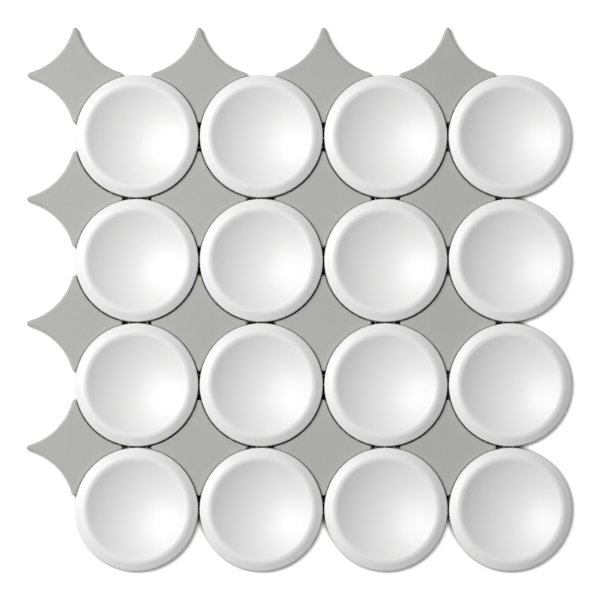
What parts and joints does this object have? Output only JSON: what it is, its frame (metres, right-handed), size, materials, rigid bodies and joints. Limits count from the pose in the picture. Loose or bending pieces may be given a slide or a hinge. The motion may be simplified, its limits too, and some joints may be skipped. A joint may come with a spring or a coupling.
{
  "type": "ceramic mosaic sheet",
  "caption": "Mesh-backed ceramic mosaic sheet of dished white round tiles with flat grey four-pointed star tiles in the gaps, for covering walls.",
  "frame": {"origin": "middle of the sheet's bounding box, on the underside of the net", "axes": "+Z out of the glazed face; the star tiles stand out along the +Y and -X edges"},
  "size_m": [0.2976, 0.2974, 0.0109],
  "materials": {
    "white_glaze": "satin",
    "grey_matt_glaze": "matte",
    "glass_fibre": "satin"
  },
  "bodies": {
    "root": {"round_tile_r1c1": "white_glaze", "round_tile_r1c2": "white_glaze", "round_tile_r1c3": "white_glaze", "round_tile_r1c4": "white_glaze", "round_tile_r2c1": "white_glaze", "round_tile_r2c2": "white_glaze", "round_tile_r2c3": "white_glaze", "round_tile_r2c4": "white_glaze", "round_tile_r3c1": "white_glaze", "round_tile_r3c2": "white_glaze", "round_tile_r3c3": "white_glaze", "round_tile_r3c4": "white_glaze", "round_tile_r4c1": "white_glaze", "round_tile_r4c2": "white_glaze", "round_tile_r4c3": "white_glaze", "round_tile_r4c4": "white_glaze", "star_tile_r1c1": "grey_matt_glaze", "star_tile_r1c2": "grey_matt_glaze", "star_tile_r1c3": "grey_matt_glaze", "star_tile_r1c4": "grey_matt_glaze", "star_tile_r2c1": "grey_matt_glaze", "star_tile_r2c2": "grey_matt_glaze", "star_tile_r2c3": "grey_matt_glaze", "star_tile_r2c4": "grey_matt_glaze", "star_tile_r3c1": "grey_matt_glaze", "star_tile_r3c2": "grey_matt_glaze", "star_tile_r3c3": "grey_matt_glaze", "star_tile_r3c4": "grey_matt_glaze", "star_tile_r4c1": "grey_matt_glaze", "star_tile_r4c2": "grey_matt_glaze", "star_tile_r4c3": "grey_matt_glaze", "star_tile_r4c4": "grey_matt_glaze", "net_cross_strands": "glass_fibre", "net_long_strands": "glass_fibre"}
  },
  "joints": []
}
